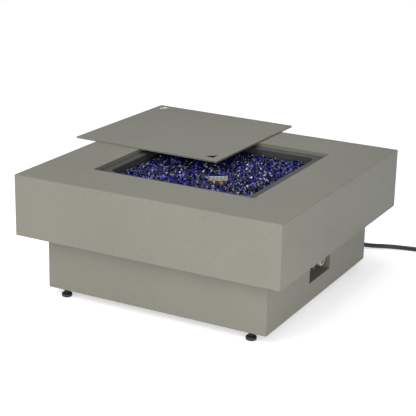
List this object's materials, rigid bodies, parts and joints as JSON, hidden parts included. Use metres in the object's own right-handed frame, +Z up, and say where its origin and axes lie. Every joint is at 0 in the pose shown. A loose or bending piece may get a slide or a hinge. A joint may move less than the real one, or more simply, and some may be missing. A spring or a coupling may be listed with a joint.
{
  "type": "fire pit table",
  "caption": "Low square gas fire table: overhanging top on a box base, pan of blue fire glass, lift-off lid set aside, side control recess, hose and regulator.",
  "frame": {"origin": "on the floor under the middle of the table", "axes": "+Z up; +X towards the side with the control recess; +Y towards the side where the gas hose leaves"},
  "size_m": [1.3241, 1.1037, 0.414],
  "materials": {
    "powder_coat": "fine-textured matt sage-grey powder coat",
    "powder_coat_inside": "thin powder coat",
    "frame_steel": "black primer",
    "pan_black": "heat-proof dark grey enamel, satin",
    "stainless": "brushed",
    "guard_steel": "bead-blasted, pale",
    "galvanised": "dull galvanised",
    "zinc_screws": "bright zinc plate",
    "stud_steel": "black oxide",
    "foot_rubber": "matt black",
    "lid_rubber": "matt black",
    "fire_glass": "tumbled deep-blue reflective glass",
    "yellow_zinc": "yellow zinc plate",
    "ceramic_white": "glazed white",
    "brass": "machined",
    "ferrule_brass": "crimped",
    "valve_alloy": "die cast",
    "knob_silver": "metallic silver paint",
    "black_plastic": "moulded",
    "button_black": "semi-gloss",
    "battery_case": "printed sleeve, plain",
    "feed_tube": "bare tube",
    "hose_rubber": "smooth extruded, slightly glossy",
    "wire_sleeve": "silicone sleeve",
    "regulator_paint": "grey enamel on zinc die casting",
    "hand_nut_plastic": "ribbed moulding"
  },
  "bodies": {
    "table": {"top_sheet": "powder_coat", "apron_front": "powder_coat", "apron_back": "powder_coat", "apron_left": "powder_coat", "apron_right": "powder_coat", "overhang_soffit": "powder_coat", "base_front": "powder_coat", "base_back": "powder_coat", "base_left": "powder_coat", "base_right": "powder_coat", "recess_frame": "powder_coat", "control_box": "powder_coat", "corner_posts": "frame_steel", "base_rails": "frame_steel", "top_bearers": "frame_steel", "burner_pan": "pan_black", "burner": "stainless", "air_mixer": "stainless", "thermocouple": "stainless", "flame_guard": "guard_steel", "heat_shield": "galvanised", "shield_spacers": "galvanised", "burner_lock_nut": "zinc_screws", "foot_lock_nuts": "zinc_screws", "regulator_screws": "zinc_screws", "glass_bed": "fire_glass", "pilot_bracket": "yellow_zinc", "spark_electrode": "ceramic_white", "gas_orifice": "brass", "inlet_nipple": "brass", "hose_ferrule": "ferrule_brass", "gas_valve": "valve_alloy", "igniter_body": "black_plastic", "igniter_nut": "black_plastic", "hose_grommet": "black_plastic", "igniter_battery": "battery_case", "burner_feed_tube": "feed_tube", "supply_tube": "hose_rubber", "hose_lead": "hose_rubber", "hose_coil": "hose_rubber", "hose_tail": "hose_rubber", "ignition_wire": "wire_sleeve", "regulator_body": "regulator_paint", "regulator_cover": "regulator_paint"},
    "lid": {"lid_panel": "powder_coat", "lid_stiffeners": "powder_coat_inside", "lid_pads": "lid_rubber"},
    "knob_collar": {"stem_collar": "brass"},
    "knob": {"knob_stem": "brass", "control_knob": "knob_silver"},
    "igniter_button": {"igniter_cap": "button_black"},
    "cylinder_nut": {"hand_nut": "hand_nut_plastic"},
    "pad_front_left": {"foot_pad_front_left": "foot_rubber"},
    "stud_front_left": {"foot_stud_front_left": "stud_steel"},
    "pad_front_right": {"foot_pad_front_right": "foot_rubber"},
    "stud_front_right": {"foot_stud_front_right": "stud_steel"},
    "pad_back_right": {"foot_pad_back_right": "foot_rubber"},
    "stud_back_right": {"foot_stud_back_right": "stud_steel"},
    "pad_back_left": {"foot_pad_back_left": "foot_rubber"},
    "stud_back_left": {"foot_stud_back_left": "stud_steel"}
  },
  "joints": [
    {"name": "lid_lift", "type": "slide", "parent": "table", "child": "lid", "axis": [0, 0, 1], "range_m": [0, 0.3]},
    {"name": "knob_push", "type": "slide", "parent": "table", "child": "knob_collar", "axis": [-1, 0, 0], "range_m": [0, 0.004], "stiffness_N_per_m": 3000, "springref_m": -0.001},
    {"name": "knob_turn", "type": "hinge", "parent": "knob_collar", "child": "knob", "pos_m": [0.357, 0.034, 0.135], "axis": [1, 0, 0], "range_deg": [0, 200]},
    {"name": "igniter_press", "type": "slide", "parent": "table", "child": "igniter_button", "axis": [-1, 0, 0], "range_m": [0, 0.004], "stiffness_N_per_m": 1500, "springref_m": -0.001},
    {"name": "nut_spin", "type": "hinge", "parent": "table", "child": "cylinder_nut", "pos_m": [0.752, 0.285, 0.0235], "axis": [0, 1, 0], "continuous": true},
    {"name": "height_front_left", "type": "slide", "parent": "table", "child": "pad_front_left", "axis": [0, 0, -1], "range_m": [-0.004, 0.01]},
    {"name": "screw_front_left", "type": "hinge", "parent": "pad_front_left", "child": "stud_front_left", "pos_m": [-0.329, -0.368, 0.03], "axis": [0, 0, 1], "range_deg": [-970, 2410]},
    {"name": "height_front_right", "type": "slide", "parent": "table", "child": "pad_front_right", "axis": [0, 0, -1], "range_m": [-0.004, 0.01]},
    {"name": "screw_front_right", "type": "hinge", "parent": "pad_front_right", "child": "stud_front_right", "pos_m": [0.329, -0.368, 0.03], "axis": [0, 0, 1], "range_deg": [-970, 2410]},
    {"name": "height_back_right", "type": "slide", "parent": "table", "child": "pad_back_right", "axis": [0, 0, -1], "range_m": [-0.004, 0.01]},
    {"name": "screw_back_right", "type": "hinge", "parent": "pad_back_right", "child": "stud_back_right", "pos_m": [0.329, 0.368, 0.03], "axis": [0, 0, 1], "range_deg": [-970, 2410]},
    {"name": "height_back_left", "type": "slide", "parent": "table", "child": "pad_back_left", "axis": [0, 0, -1], "range_m": [-0.004, 0.01]},
    {"name": "screw_back_left", "type": "hinge", "parent": "pad_back_left", "child": "stud_back_left", "pos_m": [-0.329, 0.368, 0.03], "axis": [0, 0, 1], "range_deg": [-970, 2410]}
  ],
  "couplings": [
    {"joint": "screw_front_left", "follows": "height_front_left", "rad_per_m": 4188.8},
    {"joint": "screw_front_right", "follows": "height_front_right", "rad_per_m": 4188.8},
    {"joint": "screw_back_right", "follows": "height_back_right", "rad_per_m": 4188.8},
    {"joint": "screw_back_left", "follows": "height_back_left", "rad_per_m": 4188.8}
  ]
}
